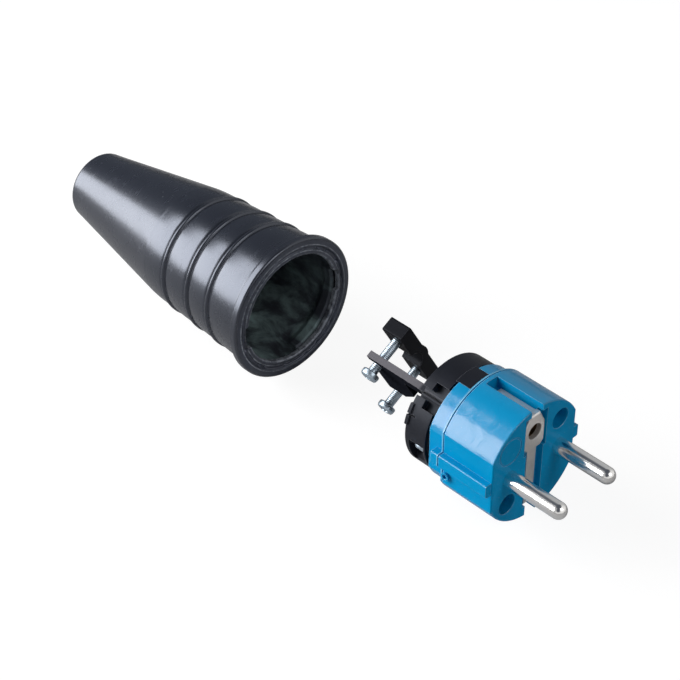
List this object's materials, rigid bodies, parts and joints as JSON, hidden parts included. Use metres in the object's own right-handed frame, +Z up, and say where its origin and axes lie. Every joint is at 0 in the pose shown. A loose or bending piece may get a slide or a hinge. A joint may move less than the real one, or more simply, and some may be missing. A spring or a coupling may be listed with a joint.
{
  "type": "rubber mains plug",
  "caption": "Round earthed two-pin mains plug, shown apart: blue insert with contact pins, earth strips and cord clamp, and a tapered black rubber hood that slides over its back.",
  "frame": {"origin": "centre of the face that the contact pins stand out of, midway between the pins", "axes": "+X along the plug, out of the pin tips; +Y along the pin line; +Z up, from the pin line to the earth hole"},
  "size_m": [0.202, 0.0448, 0.0448],
  "materials": {
    "hood_rubber": "satin moulded rubber",
    "blue_plastic": "satin-gloss moulded",
    "black_plastic": "satin moulded",
    "pin_nickel": "polished nickel plate",
    "earth_metal": "satin nickel strip",
    "earth_brass": "turned brass",
    "screw_zinc": "bright zinc plate"
  },
  "bodies": {
    "insert": {"front_body": "blue_plastic", "terminal_carrier": "black_plastic", "contact_pin_left": "pin_nickel", "contact_pin_right": "pin_nickel", "terminal_screw_left": "screw_zinc", "terminal_screw_right": "screw_zinc", "earth_strip": "earth_metal", "earth_socket": "earth_brass", "earth_screw": "screw_zinc", "assembly_screw_upper": "screw_zinc", "assembly_screw_lower": "screw_zinc", "clamp_saddle": "black_plastic", "clamp_screw_upper": "screw_zinc", "clamp_screw_lower": "screw_zinc"},
    "hood": {"rubber_hood": "hood_rubber"}
  },
  "joints": [
    {"name": "hood_slide", "type": "slide", "parent": "insert", "child": "hood", "axis": [1, 0, 0], "range_m": [0, 0.0738]}
  ]
}
